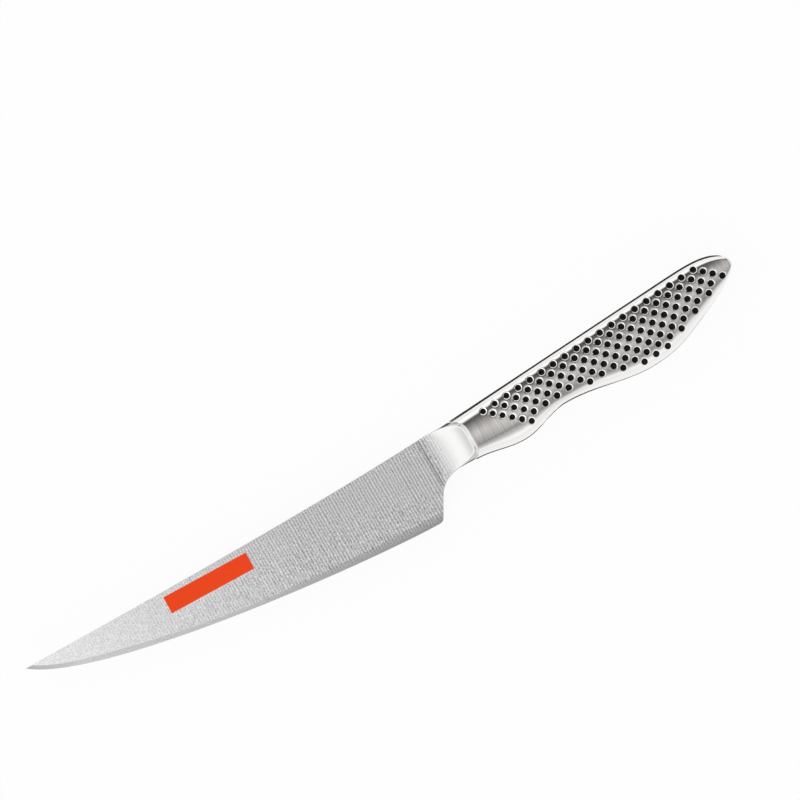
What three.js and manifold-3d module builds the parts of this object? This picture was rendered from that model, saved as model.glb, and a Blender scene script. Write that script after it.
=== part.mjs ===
// A slim all-steel kitchen knife with a flexible blade, a flared neck and a hollow dimpled handle.
//
// Millimetres. The knife lies on its side: +X runs from the neck to the butt, +Y towards the spine
// and +Z out of the left side of the blade. The plan is drawn from the neck line, where X and Y are
// zero at the spine and Z is zero midway through the blade. At the end the whole group is moved so
// that its origin is the middle of its underside.

import * as THREE from 'three';
import Module from 'manifold-3d';
import { LoftGeometry } from 'three/addons/geometries/LoftGeometry.js';
import { mergeVertices } from 'three/addons/utils/BufferGeometryUtils.js';

// Blade, in plan
const BLADE_LENGTH = 145; // neck line to tip
const BLADE_DEPTH = 26.2; // spine line to cutting edge at the heel
const TIP_DROP = 0.6; // tip below the spine line
const SPINE_DIP = 1; // hollow of the spine below a straight line
const SPINE_DIP_X = 45; // the hollow's place ahead of the neck line
const TIP_ANGLE = 35; // cutting edge to spine line at the tip, degrees
const TIP_REACH = 31; // how far the tip's direction pulls the edge
const HEEL_REACH = 11; // how far the edge stays level ahead of the heel
const HEEL_ANGLE = 60; // lean of the heel's back edge, degrees
const HEEL_RADIUS = 2; // rounding of the heel's corner
const CHOIL_RADIUS = 10; // hollow between the heel and the neck
const CHOIL_X = 4; // where that hollow meets the neck's underside

// Blade, in thickness
const SPINE_THICKNESS = 1.5; // spine at the neck
const TIP_THICKNESS = 0.85; // spine at the tip
const EDGE_SHOULDER = 0.88; // at the depth of the edge by the heel, before the bevel is ground
const BEVEL_ANGLE = 8; // each side of the cutting edge, degrees
const EDGE_THICKNESS = 0.1; // blunt width left on the cutting edge

// Tang, the strip of the blade that the neck holds
const TANG_SHOULDER = 4; // full depth of the blade ends here, past the neck line
const TANG_LENGTH = 17; // neck line to the tang's end
const TANG_WIDTH = 7.5; // tang, across

// Neck
const NECK_DEPTH = 14.2; // spine to underside
const NECK_LAP = 2.5; // cheeks reach this far over the blade, ahead of the neck line
const NECK_LIP = 0.3; // cheeks' front edge above the blade
const NECK_STEP = 0.3; // neck's surface below the handle's
const FLARE_RADIUS = 22; // hollow flare from the blade up to the handle
const SHOULDER_RADIUS = 2; // round at the top of the flare
const SPIGOT_LENGTH = 9; // part of the neck inside the handle, past the joint's crown

// Joint between neck and handle, a line bowed towards the butt
const JOINT_TOP = 7.7; // on the back
const JOINT_CROWN = 11.4; // furthest point
const JOINT_UNDER = 9.2; // on the underside
const JOINT_BOW = 2.2; // power of the bow, 2 being a parabola

// Handle, in plan
const HANDLE_LENGTH = 110; // neck line to butt
const BACK_STEP = 0.13; // the handle's back above the neck's, at the joint
const BACK_RISE = 3.5; // slope of the handle's back, degrees
const BACK_ROUND_LENGTH = 26; // length over which the back rounds down to the butt
const BACK_POWER = 4.5; // how late that round sets in
const BACK_ROOT = 1.5; // how full it is at the butt
const BUTT_DROP = 0.2; // the butt's end below the spine line
const BUMP_START = 10; // where the underside leaves the neck's line
const BUMP_X = 26.3; // finger stop
const BUMP_DEPTH = 16.75;
const GROOVE_X = 43.2; // finger groove
const GROOVE_DEPTH = 13.2;
const PALM_FROM_BUTT = 36.5; // palm swell
const PALM_DEPTH = 17.05;
const TAIL_FROM_BUTT = 28.4; // where the underside turns up towards the butt
const TAIL_RISE = 25.2; // slope of the underside behind that turn, degrees
const TAIL_BLEND = 3.6; // softness of the turn
const BUTT_ROUND_LENGTH = 8; // length over which the underside rounds up to the butt
const BUTT_POWER = 3; // how late that round sets in
const BUTT_ROOT = 2; // how full it is at the butt

// Handle, in section
const HANDLE_THICKNESS = 10.5; // over both flat sides
const BACK_EDGE = 2.2; // width of the rounded edge along the back
const BELLY_EDGE = 4.2; // width of the rounded edge along the underside
const BUTT_EDGE = 3.5; // length of the rounding at the butt
const BUTT_FLAT = 0.05; // the rounding stops this short of a point
const WALL = 1; // pressed sheet
const BUTT_WALL = 3; // steel at the butt, where both shells close

// Grip dimples, a square lattice turned to run diagonally across the handle
const DIMPLE_PITCH = 4.385; // along a row
const DIMPLE_DIAMETER = 2.2;
const DIMPLE_DEPTH = 0.5;
const GRIP_TILT = 4; // slope of the back row, degrees
const GRIP_FRONT = 19.2; // neck line to the first dimple
const GRIP_BUTT = 11.5; // last dimple of the back row to the butt
const GRIP_BACK = 3.15; // first dimple below the handle's back
const GRIP_BELLY = 2.7; // least distance from a dimple to the underside
const GRIP_END = 5; // the underside's last stretch, which doesn't count for that

// Welds, gaps and filling
const SEAM_WIDTH = 0.8; // bead between the two shells
const NECK_WELD = 0.9; // bead between the neck and the shells
const BLADE_WELD = 1.2; // length of the bead that blends the cheeks into the blade
const WELD_GAP = 0.1; // left between a bead and what it joins
const FIT_GAP = 0.1; // tang in its slot, spigot in the shells, sand in the chamber
const SAND_LEVEL = 0.8; // top of the balancing sand above the middle of the handle

// How finely round shapes are divided
const CURVE_STEPS = 14;
const EDGE_STEPS = 4;
const HANDLE_STEPS = 48;
const DIMPLE_SIDES = 8;

// Margin by which a cutting block passes what it cuts
const CLEAR = 10;

// Sizes that follow from the ones above
const half = HANDLE_THICKNESS / 2;
const neckHalf = half - NECK_STEP;
const bladeHalf = SPINE_THICKNESS / 2;
const reach = BLADE_LENGTH + HANDLE_LENGTH;
const riseSlope = Math.tan(THREE.MathUtils.degToRad(BACK_RISE));
const tailSlope = Math.tan(THREE.MathUtils.degToRad(TAIL_RISE));
const palmX = HANDLE_LENGTH - PALM_FROM_BUTT;
const spigotEnd = JOINT_CROWN + SPIGOT_LENGTH;
const bodyStart = Math.min(JOINT_TOP, JOINT_UNDER) - CLEAR / 2;

const wasm = await Module();
wasm.setup();

// Solids

// A closed three.js geometry as a solid that can be joined and cut.
function solid(geometry) {
  const bare = new THREE.BufferGeometry().copy(geometry);
  bare.deleteAttribute('normal');
  bare.deleteAttribute('uv');
  const merged = mergeVertices(bare);
  return new wasm.Manifold(new wasm.Mesh({
    numProp: 3,
    vertProperties: merged.attributes.position.array,
    triVerts: new Uint32Array(merged.index.array),
  }));
}

// A solid back as a three.js geometry.
function geometryOf(shape) {
  const mesh = shape.getMesh();
  const geometry = new THREE.BufferGeometry();
  geometry.setAttribute('position', new THREE.BufferAttribute(mesh.vertProperties, 3));
  geometry.setIndex(new THREE.BufferAttribute(mesh.triVerts, 1));
  geometry.computeVertexNormals();
  return geometry;
}

// A block between two corners.
function block(x0, x1, y0, y1, z0, z1) {
  const box = new THREE.BoxGeometry(x1 - x0, y1 - y0, z1 - z0);
  return solid(box.translate((x0 + x1) / 2, (y0 + y1) / 2, (z0 + z1) / 2));
}

// A plan outline given a thickness, evenly above and below the middle.
function plate(outline, thickness, bevel = { bevelEnabled: false }) {
  const options = { depth: thickness, curveSegments: CURVE_STEPS, ...bevel };
  return solid(new THREE.ExtrudeGeometry(outline, options).translate(0, 0, -thickness / 2));
}

// Outline of the handle, as heights above the spine line at a place along X

// Corner that starts level at 0 and ends upright at 1: a curve between an ellipse and a straight line.
function corner(share, power, root) {
  return 1 - Math.pow(1 - Math.pow(THREE.MathUtils.clamp(share, 0, 1), power), 1 / root);
}

// Smooth step from one depth to another, level at both ends.
function swell(x, x0, depth0, x1, depth1) {
  const turn = (1 - Math.cos(Math.PI * THREE.MathUtils.clamp((x - x0) / (x1 - x0), 0, 1))) / 2;
  return depth0 + (depth1 - depth0) * turn;
}

// The back: a straight rise, rounded down to the butt.
function handleTop(x) {
  const line = (place) => BACK_STEP + riseSlope * (place - JOINT_TOP);
  const share = (x - HANDLE_LENGTH + BACK_ROUND_LENGTH) / BACK_ROUND_LENGTH;
  return line(x) - (line(HANDLE_LENGTH) + BUTT_DROP) * corner(share, BACK_POWER, BACK_ROOT);
}

// Depth of the underside up to the palm: finger stop, finger groove, palm swell.
function gripDepth(x) {
  if (x < BUMP_X) return swell(x, BUMP_START, NECK_DEPTH + NECK_STEP, BUMP_X, BUMP_DEPTH);
  if (x < GROOVE_X) return swell(x, BUMP_X, BUMP_DEPTH, GROOVE_X, GROOVE_DEPTH);
  return swell(x, GROOVE_X, GROOVE_DEPTH, palmX, PALM_DEPTH);
}

// The underside: those swells, a soft turn into a straight rise, then rounded up to the butt.
function handleBottom(x) {
  const behind = (x - HANDLE_LENGTH + TAIL_FROM_BUTT) / TAIL_BLEND;
  const line = tailSlope * TAIL_BLEND * Math.log1p(Math.exp(behind)) - gripDepth(x);
  const share = (x - HANDLE_LENGTH + BUTT_ROUND_LENGTH) / BUTT_ROUND_LENGTH;
  return line - (line + BUTT_DROP) * corner(share, BUTT_POWER, BUTT_ROOT);
}

// Half of the handle's thickness, rounded off at the butt by a quarter ellipse.
function handleHalf(x) {
  const share = THREE.MathUtils.clamp((x - HANDLE_LENGTH + BUTT_EDGE) / BUTT_EDGE, 0, 1);
  return half * Math.sqrt(1 - share ** 2);
}

// The neck's underside, with the hollow that runs on into the heel.
function neckBottom(x) {
  const run = Math.max(CHOIL_X - x, 0);
  return -NECK_DEPTH - CHOIL_RADIUS + Math.sqrt(CHOIL_RADIUS ** 2 - run ** 2);
}

// Bodies carried along X

// One cross-section: two flat sides with a quarter ellipse at the back and at the underside.
function section(x, top, bottom, halfThickness, backEdge, bellyEdge) {
  const fit = Math.min(1, (top - bottom) / (backEdge + bellyEdge));
  const side = [];
  for (let i = 0; i <= EDGE_STEPS; i++) {
    const angle = (i / EDGE_STEPS) * (Math.PI / 2);
    const y = top - fit * backEdge * (1 - Math.cos(angle));
    side.push(new THREE.Vector3(x, y, halfThickness * Math.sin(angle)));
  }
  for (let i = EDGE_STEPS; i >= 0; i--) {
    const angle = (i / EDGE_STEPS) * (Math.PI / 2);
    const y = bottom + fit * bellyEdge * (1 - Math.cos(angle));
    side.push(new THREE.Vector3(x, y, halfThickness * Math.sin(angle)));
  }
  const mirror = (point) => new THREE.Vector3(point.x, point.y, -point.z);
  return [...side, ...side.slice(1, -1).reverse().map(mirror)];
}

// The handle's form, or the same form lying inset millimetres inside it, closed short of the butt.
// Its sections crowd towards the butt, where the form curves most.
function handleBody(inset, end) {
  const sections = [];
  for (let i = 0; i <= HANDLE_STEPS; i++) {
    const x = bodyStart + (end - bodyStart) * Math.sin((i / HANDLE_STEPS) * (Math.PI / 2));
    const at = Math.min(x + inset, HANDLE_LENGTH - BUTT_FLAT);
    const top = handleTop(at) - inset;
    const bottom = handleBottom(at) + inset;
    const backEdge = Math.max(BACK_EDGE - inset, WALL / 2);
    const bellyEdge = Math.max(BELLY_EDGE - inset, WALL / 2);
    sections.push(section(x, top, bottom, handleHalf(at) - inset, backEdge, bellyEdge));
  }
  return solid(new LoftGeometry(sections, { capStart: true, capEnd: true }));
}

// The hollow inside the handle, or what lies in it with a gap to the wall.
function chamber(gap) {
  return handleBody(WALL + gap, HANDLE_LENGTH - BUTT_WALL - gap);
}

// The line where the neck meets the handle, as its place along X at a height.
function jointX(y) {
  const away = (2 * y) / NECK_DEPTH + 1;
  const end = away > 0 ? JOINT_TOP : JOINT_UNDER;
  return JOINT_CROWN + (end - JOINT_CROWN) * Math.abs(away) ** JOINT_BOW;
}

// Everything ahead of that line, moved along X by shift.
function aheadOfJoint(shift) {
  const top = handleTop(HANDLE_LENGTH - BACK_ROUND_LENGTH) + CLEAR;
  const under = -Math.max(BUMP_DEPTH, PALM_DEPTH, BLADE_DEPTH) - CLEAR;
  const outline = new THREE.Shape();
  outline.moveTo(shift - NECK_LAP - CLEAR, top);
  outline.lineTo(shift - NECK_LAP - CLEAR, under);
  outline.lineTo(shift + JOINT_UNDER, under);
  for (let i = 0; i <= CURVE_STEPS; i++) {
    const y = -NECK_DEPTH * (1 - i / CURVE_STEPS);
    outline.lineTo(shift + jointX(y), y);
  }
  outline.lineTo(shift + JOINT_TOP, top);
  return plate(outline, HANDLE_THICKNESS + CLEAR);
}

// Blade

const tip = new THREE.Vector2(-BLADE_LENGTH, -TIP_DROP);
const tipAngle = THREE.MathUtils.degToRad(TIP_ANGLE);
const heelAngle = THREE.MathUtils.degToRad(HEEL_ANGLE);

// The heel's corner lies where its back edge, leaving the choil at the heel's angle, meets the edge.
const choilEnd = new THREE.Vector2(
  CHOIL_X - CHOIL_RADIUS * Math.sin(heelAngle),
  -NECK_DEPTH - CHOIL_RADIUS * (1 - Math.cos(heelAngle)),
);
const heelX = choilEnd.x - (BLADE_DEPTH + choilEnd.y) / Math.tan(heelAngle);
const heelTangent = HEEL_RADIUS * Math.tan(heelAngle / 2);
const edgeStart = new THREE.Vector2(heelX - heelTangent, -BLADE_DEPTH);

// Adds the cutting edge, from the heel to the tip, to an outline.
function drawEdge(outline) {
  outline.bezierCurveTo(
    edgeStart.x - HEEL_REACH, edgeStart.y,
    tip.x + TIP_REACH * Math.cos(tipAngle), tip.y - TIP_REACH * Math.sin(tipAngle),
    tip.x, tip.y,
  );
}

// The stamped sheet: tang, choil, heel, cutting edge and spine.
function bladeOutline() {
  const tangTop = (TANG_WIDTH - NECK_DEPTH) / 2;
  const outline = new THREE.Shape();
  outline.moveTo(TANG_LENGTH, tangTop);
  outline.lineTo(TANG_SHOULDER, tangTop);
  outline.lineTo(TANG_SHOULDER, 0);
  outline.lineTo(0, 0);
  const dip = -TIP_DROP / 2 - 2 * SPINE_DIP;
  outline.quadraticCurveTo(-SPINE_DIP_X, dip, tip.x, tip.y);
  const edge = new THREE.Shape();
  edge.moveTo(edgeStart.x, edgeStart.y);
  drawEdge(edge);
  const edgePoints = edge.getPoints(2 * CURVE_STEPS).reverse();
  edgePoints.slice(1).forEach((point) => outline.lineTo(point.x, point.y));
  outline.absarc(edgeStart.x, edgeStart.y + HEEL_RADIUS, HEEL_RADIUS, -Math.PI / 2, heelAngle - Math.PI / 2, false);
  const choilY = -NECK_DEPTH - CHOIL_RADIUS;
  outline.absarc(CHOIL_X, choilY, CHOIL_RADIUS, Math.PI / 2 + heelAngle, Math.PI / 2, true);
  outline.lineTo(TANG_SHOULDER, tangTop - TANG_WIDTH);
  outline.lineTo(TANG_LENGTH, tangTop - TANG_WIDTH);
  return outline;
}

// A wedge that holds the cutting edge: its chamfer follows the edge and its other sides lie far out.
function bevelWedge() {
  const tall = bladeHalf * 2;
  const wide = tall / Math.tan(THREE.MathUtils.degToRad(BEVEL_ANGLE));
  const far = wide + BLADE_DEPTH;
  const outline = new THREE.Shape();
  outline.moveTo(HANDLE_LENGTH, -BLADE_DEPTH);
  outline.lineTo(edgeStart.x, edgeStart.y);
  drawEdge(outline);
  outline.lineTo(tip.x - far * Math.cos(tipAngle), tip.y + far * Math.sin(tipAngle));
  outline.lineTo(tip.x, far * 2);
  outline.lineTo(HANDLE_LENGTH, far * 2);
  return plate(outline, EDGE_THICKNESS, {
    bevelEnabled: true,
    bevelSegments: 1,
    bevelThickness: tall,
    bevelSize: wide,
    bevelOffset: -wide,
  });
}

// The flat ground on one side of the blade: its outward normal, and a point of it at the neck.
function groundFlat(side) {
  const atNeck = new THREE.Vector3(-NECK_LAP, 0, side * bladeHalf);
  const atTip = new THREE.Vector3(-BLADE_LENGTH, 0, (side * TIP_THICKNESS) / 2);
  const atEdge = new THREE.Vector3(-NECK_LAP, -BLADE_DEPTH, (side * EDGE_SHOULDER) / 2);
  const plane = new THREE.Plane().setFromCoplanarPoints(atNeck, atTip, atEdge);
  const normal = plane.normal.multiplyScalar(Math.sign(plane.normal.z) * side);
  const turn = new THREE.Quaternion().setFromUnitVectors(new THREE.Vector3(0, 0, side), normal);
  return { atNeck, turn };
}

// What grinding takes off one side, ahead of the neck.
function grindStone(side) {
  const { atNeck, turn } = groundFlat(side);
  const stone = new THREE.BoxGeometry(reach, reach, CLEAR).translate(-reach / 2, 0, (side * CLEAR) / 2);
  stone.applyQuaternion(turn).translate(atNeck.x, atNeck.y, atNeck.z);
  return solid(stone);
}

function blade() {
  const sheet = plate(bladeOutline(), SPINE_THICKNESS);
  return sheet.subtract(grindStone(1)).subtract(grindStone(-1)).intersect(bevelWedge());
}

// Neck

// The hollow flare, drawn from the side and carried across the neck.
function flare() {
  const foot = bladeHalf + NECK_LIP;
  const hollowZ = foot + FLARE_RADIUS;
  const roundZ = neckHalf - SHOULDER_RADIUS;
  const span = FLARE_RADIUS + SHOULDER_RADIUS;
  const turn = Math.acos((hollowZ - roundZ) / span);
  const roundX = -NECK_LAP + span * Math.sin(turn);
  const end = Math.max(JOINT_CROWN, roundX) + CLEAR;
  const quarter = Math.PI / 2;
  const outline = new THREE.Shape();
  outline.moveTo(-NECK_LAP, -foot);
  outline.lineTo(-NECK_LAP, foot);
  outline.absarc(-NECK_LAP, hollowZ, FLARE_RADIUS, -quarter, turn - quarter, false);
  outline.absarc(roundX, roundZ, SHOULDER_RADIUS, quarter + turn, quarter, true);
  outline.lineTo(end, neckHalf);
  outline.lineTo(end, -neckHalf);
  outline.absarc(roundX, -roundZ, SHOULDER_RADIUS, -quarter, -quarter - turn, true);
  outline.absarc(-NECK_LAP, -hollowZ, FLARE_RADIUS, quarter - turn, quarter, false);
  const across = reach;
  const options = { depth: across, bevelEnabled: false, curveSegments: CURVE_STEPS };
  const geometry = new THREE.ExtrudeGeometry(outline, options);
  return solid(geometry.rotateX(quarter).translate(0, across / 2, 0));
}

// The neck's rounded form before the flare is ground into it.
function neckBody() {
  const sections = [];
  const to = JOINT_CROWN + CLEAR;
  for (let i = 0; i <= CURVE_STEPS; i++) {
    const x = -NECK_LAP + ((to + NECK_LAP) * i) / CURVE_STEPS;
    sections.push(section(x, 0, neckBottom(x), neckHalf, BACK_EDGE, BELLY_EDGE));
  }
  return solid(new LoftGeometry(sections, { capStart: true, capEnd: true }));
}

// The slot that takes the blade's full depth in front and its tang further in.
function tangSlot() {
  const slotHalf = bladeHalf + FIT_GAP;
  const tangHalf = TANG_WIDTH / 2 + FIT_GAP;
  const mouth = block(
    -NECK_LAP - CLEAR, TANG_SHOULDER + FIT_GAP, -BLADE_DEPTH - CLEAR, CLEAR, -slotHalf, slotHalf,
  );
  const middle = -NECK_DEPTH / 2;
  const hole = block(
    0, TANG_LENGTH + FIT_GAP, middle - tangHalf, middle + tangHalf, -slotHalf, slotHalf,
  );
  return mouth.add(hole);
}

// The flared head and the spigot behind it, which starts a little inside the head.
function neckBolster() {
  const head = flare().intersect(neckBody()).intersect(aheadOfJoint(0));
  const front = block(bodyStart, spigotEnd, -reach, reach, -half, half);
  const spigot = chamber(FIT_GAP).intersect(front).subtract(aheadOfJoint(-NECK_WELD));
  return head.add(spigot).subtract(tangSlot());
}

// Handle

// Both shells and the beads between them, before they are parted.
const handleSkin = handleBody(0, HANDLE_LENGTH).subtract(chamber(0));

// Centres of the dimples: columns that start in the back row and run down towards the underside.
function dimpleCentres() {
  const tilt = THREE.MathUtils.degToRad(GRIP_TILT);
  const along = new THREE.Vector2(Math.cos(tilt), Math.sin(tilt));
  const down = new THREE.Vector2(along.y, -along.x);
  const step = along.clone().add(down).multiplyScalar(DIMPLE_PITCH / 2);
  const first = new THREE.Vector2(GRIP_FRONT, handleTop(GRIP_FRONT) - GRIP_BACK);
  const underside = [];
  for (let x = GRIP_FRONT; x < HANDLE_LENGTH - GRIP_END; x += DIMPLE_DIAMETER / 4) {
    underside.push(new THREE.Vector2(x, handleBottom(x)));
  }
  const inside = (centre) => underside.every((point) => point.distanceTo(centre) > GRIP_BELLY);
  const columns = Math.floor((HANDLE_LENGTH - GRIP_FRONT - GRIP_BUTT) / DIMPLE_PITCH);
  const centres = [];
  for (let column = 0; column <= columns; column++) {
    const centre = first.clone().addScaledVector(along, column * DIMPLE_PITCH);
    while (centre.y > handleBottom(centre.x) && inside(centre)) {
      centres.push(centre.clone());
      centre.add(step);
    }
  }
  return centres;
}

// Conical punches for every dimple on one side, their points inside the wall.
function dimplePunches(side) {
  const taper = (DIMPLE_DEPTH + WALL) / DIMPLE_DEPTH;
  const cone = new THREE.ConeGeometry((DIMPLE_DIAMETER / 2) * taper, DIMPLE_DEPTH * taper, DIMPLE_SIDES);
  cone.rotateX((-side * Math.PI) / 2).translate(0, 0, side * (half - DIMPLE_DEPTH + (DIMPLE_DEPTH * taper) / 2));
  const punches = dimpleCentres().map((centre) => solid(cone.clone().translate(centre.x, centre.y, 0)));
  return wasm.Manifold.union(punches);
}

function handleShell(side) {
  const near = (side * SEAM_WIDTH) / 2;
  const far = side * (HANDLE_THICKNESS + CLEAR);
  const keep = block(-reach, reach, -reach, reach, Math.min(near, far), Math.max(near, far));
  const shell = handleSkin.subtract(aheadOfJoint(NECK_WELD)).intersect(keep);
  return shell.subtract(dimplePunches(side));
}

// Welds

// The bead all round the handle between the two shells.
function seamWeld() {
  const bead = SEAM_WIDTH / 2 - WELD_GAP;
  const middle = block(-reach, reach, -reach, reach, -bead, bead);
  return handleSkin.subtract(aheadOfJoint(NECK_WELD)).intersect(middle);
}

// The ring between the neck's shoulder and the front rim of the shells.
function neckWeld() {
  return handleSkin.intersect(aheadOfJoint(NECK_WELD - WELD_GAP)).subtract(aheadOfJoint(WELD_GAP));
}

// A bead along the front of one cheek, lying on the ground side of the blade.
function bladeWeld(name, side, material) {
  const { atNeck, turn } = groundFlat(side);
  const outline = new THREE.Shape();
  outline.moveTo(-WELD_GAP, side * WELD_GAP);
  outline.lineTo(-WELD_GAP - BLADE_WELD, side * WELD_GAP);
  outline.lineTo(-WELD_GAP, side * (WELD_GAP + NECK_LIP));
  const length = -neckBottom(-NECK_LAP) - 2 * NECK_LIP;
  const bead = new THREE.ExtrudeGeometry(outline, { depth: length, bevelEnabled: false });
  bead.rotateX(Math.PI / 2).translate(0, -NECK_LIP, 0);
  const mesh = piece(name, bead, material);
  mesh.position.copy(atNeck);
  mesh.quaternion.copy(turn);
  return mesh;
}

// Filling

// Loose sand in the sealed chamber behind the spigot, settled as the knife lies.
function balanceSand() {
  const settled = block(spigotEnd + FIT_GAP, HANDLE_LENGTH, -reach, reach, -half, SAND_LEVEL);
  return chamber(FIT_GAP).intersect(settled);
}

// Assembly

const bladeSteel = new THREE.MeshStandardMaterial({ color: 0xc9cacc, roughness: 0.36, metalness: 1 });
const neckSteel = new THREE.MeshStandardMaterial({ color: 0xd8d8d9, roughness: 0.16, metalness: 1 });
const shellSteel = new THREE.MeshStandardMaterial({ color: 0xb9b7b4, roughness: 0.28, metalness: 1 });
const weldSteel = new THREE.MeshStandardMaterial({ color: 0xd2d1cf, roughness: 0.22, metalness: 1 });
const quartzSand = new THREE.MeshStandardMaterial({ color: 0xc4ae86, roughness: 1, metalness: 0 });

function piece(name, geometry, material) {
  const mesh = new THREE.Mesh(geometry, material);
  mesh.name = name;
  return mesh;
}

const knife = new THREE.Group();
knife.add(piece('blade', geometryOf(blade()), bladeSteel));
knife.add(bladeWeld('blade_weld_left', 1, weldSteel));
knife.add(bladeWeld('blade_weld_right', -1, weldSteel));
knife.add(piece('neck_bolster', geometryOf(neckBolster()), neckSteel));
knife.add(piece('neck_weld', geometryOf(neckWeld()), weldSteel));
knife.add(piece('handle_shell_left', geometryOf(handleShell(1)), shellSteel));
knife.add(piece('handle_shell_right', geometryOf(handleShell(-1)), shellSteel));
knife.add(piece('seam_weld', geometryOf(seamWeld()), weldSteel));
knife.add(piece('balance_sand', geometryOf(balanceSand()), quartzSand));

// Origin at the middle of the underside
const box = new THREE.Box3().setFromObject(knife);
const middle = box.getCenter(new THREE.Vector3());
knife.position.set(-middle.x, -middle.y, -box.min.z);

export default knife;
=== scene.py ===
# %% [markdown]
# # A slim all-steel kitchen knife
#
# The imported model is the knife's construction: blade, neck, two handle shells, their welds and the
# sand inside. This lesson keeps that frame and dresses it. Each visible piece is worked out again as
# a smooth numpy surface of the same size, and gets the finish that the real steel has.

import bpy
import numpy as np
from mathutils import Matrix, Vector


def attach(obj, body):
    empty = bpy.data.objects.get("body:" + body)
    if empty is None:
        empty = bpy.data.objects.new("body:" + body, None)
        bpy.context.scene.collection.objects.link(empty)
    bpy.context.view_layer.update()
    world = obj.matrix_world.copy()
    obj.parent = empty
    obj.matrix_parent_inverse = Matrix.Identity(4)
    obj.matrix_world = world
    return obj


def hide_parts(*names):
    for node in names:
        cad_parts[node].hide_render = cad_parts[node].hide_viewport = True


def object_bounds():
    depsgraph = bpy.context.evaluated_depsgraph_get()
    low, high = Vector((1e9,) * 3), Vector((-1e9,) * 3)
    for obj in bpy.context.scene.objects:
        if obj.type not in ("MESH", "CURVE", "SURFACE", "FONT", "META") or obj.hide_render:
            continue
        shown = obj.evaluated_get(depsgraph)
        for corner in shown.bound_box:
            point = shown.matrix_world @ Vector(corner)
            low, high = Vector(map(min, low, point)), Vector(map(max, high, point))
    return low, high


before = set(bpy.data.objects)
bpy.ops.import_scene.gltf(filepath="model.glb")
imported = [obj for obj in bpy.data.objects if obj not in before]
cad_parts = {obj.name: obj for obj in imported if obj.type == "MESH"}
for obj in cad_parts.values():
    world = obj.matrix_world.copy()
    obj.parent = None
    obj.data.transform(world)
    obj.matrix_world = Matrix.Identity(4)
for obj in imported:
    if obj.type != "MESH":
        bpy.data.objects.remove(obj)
cad_low, cad_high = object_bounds()
print("CAD nodes:", sorted(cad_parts))

# %% [markdown]
# ## The plan
#
# The knife lies on its right side. It is drawn in millimetres from the neck line, where X runs to the
# butt, Y to the spine and Z out of the left side. The frame's own box says where that neck line
# lies, so one function carries every drawn point into the frame, in metres.

# %% Where the plan lies in the frame
MM = 0.001
TINY = 1e-6
BLADE_LENGTH = 145.0
BLADE_DEPTH = 26.2
HANDLE_LENGTH = 110.0
HANDLE_THICKNESS = 10.5

plan_origin = np.array([
    cad_low.x + BLADE_LENGTH * MM,
    cad_low.y + BLADE_DEPTH * MM,
    (cad_low.z + cad_high.z) / 2,
])


def to_frame(points):
    """Millimetres in the plan to metres in the frame: scaled, then moved to the neck line."""
    return np.asarray(points, float) * MM + plan_origin


print("the neck line lies at", plan_origin.round(5), "m")

# %% [markdown]
# ## Meshes from arrays
#
# Every piece here is a loft: a row of closed loops, each with as many points as the next. Faces
# join each loop to its neighbour, and the two ends are closed. Where a loop shrinks to a point, as
# at the tip of the blade, its points are welded into one, so that the surface has a proper pole.


# %% Loft helpers
def loft_faces(loops, points):
    """Quads between neighbouring loops: point p of loop s, then p + 1, both again on loop s + 1."""
    loop, point = np.meshgrid(np.arange(loops - 1), np.arange(points), indexing="ij")
    after = (point + 1) % points
    corners = ((loop, point), (loop, after), (loop + 1, after), (loop + 1, point))
    return np.stack([row * points + column for row, column in corners], -1).reshape(-1, 4)


def zip_faces(first, second):
    """Triangles between two rows of point numbers, the second with as many points or fewer.

    Each step of a row makes one with the nearest point of the other row."""
    nearest = np.arange(len(first)) * (len(second) - 1) // (len(first) - 1)
    here, there = nearest[:-1], nearest[1:]
    wide = np.stack([first[:-1], second[here], first[1:]], 1)
    moved = here != there
    narrow = np.stack([first[1:], second[here], second[there]], 1)[moved]
    return np.concatenate([wide, narrow])


def fan_faces(loop, centre):
    """Triangles from a centre point to each step of a closed loop of point numbers."""
    return np.stack([np.roll(loop, -1), loop, np.full_like(loop, centre)], 1)


def capped_loft(loops):
    """Points and faces of a closed body: the loops, and a fan from the middle of both end loops."""
    count, around = loops.shape[:2]
    points = np.concatenate([loops.reshape(-1, 3), loops[[0, -1]].mean(1)])
    first = np.arange(around)
    last = first + (count - 1) * around
    caps = [fan_faces(first, count * around)[:, ::-1], fan_faces(last, count * around + 1)]
    return points, [loft_faces(count, around), *caps]


def weld(points, faces):
    """Makes points in the same place one point. A quad that loses a corner becomes a triangle.

    Gives the points, the faces as triangles and quads, and where each point stood in the list."""
    nanometres = np.round(points * 1e6).astype(np.int64)
    _, first, number = np.unique(nanometres, axis=0, return_index=True, return_inverse=True)
    number = number.ravel()
    kept = []
    for group in faces:
        group = number[group]
        same = group == np.roll(group, -1, axis=1)
        kept.append(group[~same.any(1)])
        if group.shape[1] == 4:
            once = same.sum(1) == 1
            turned = [np.roll(group, -side, axis=1)[once & same[:, side], 1:] for side in range(4)]
            kept.append(np.concatenate(turned))
    return points[first], [group for group in kept if len(group)], first


def signed_volume(points, faces):
    """Six times the volume inside: the sum of each fan triangle's corner a . (b x c)."""
    total = 0.0
    for group in faces:
        for side in range(1, group.shape[1] - 1):
            a, b, c = points[group[:, 0]], points[group[:, side]], points[group[:, side + 1]]
            total += np.einsum("ij,ij->", a, np.cross(b, c))
    return total


# %% [markdown]
# One function puts a shape into the scene. It turns the faces outwards, smooths the shading except
# across real edges, lays a flat map along X and Y that later gives the brushed steel its direction,
# and hands the piece to the frame: what it rides on and what it stands for.


# %% Piece maker
def add_object(name, data):
    """Puts a mesh or a camera into the scene."""
    made = bpy.data.objects.new(name, data)
    bpy.context.scene.collection.objects.link(made)
    return made


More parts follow.
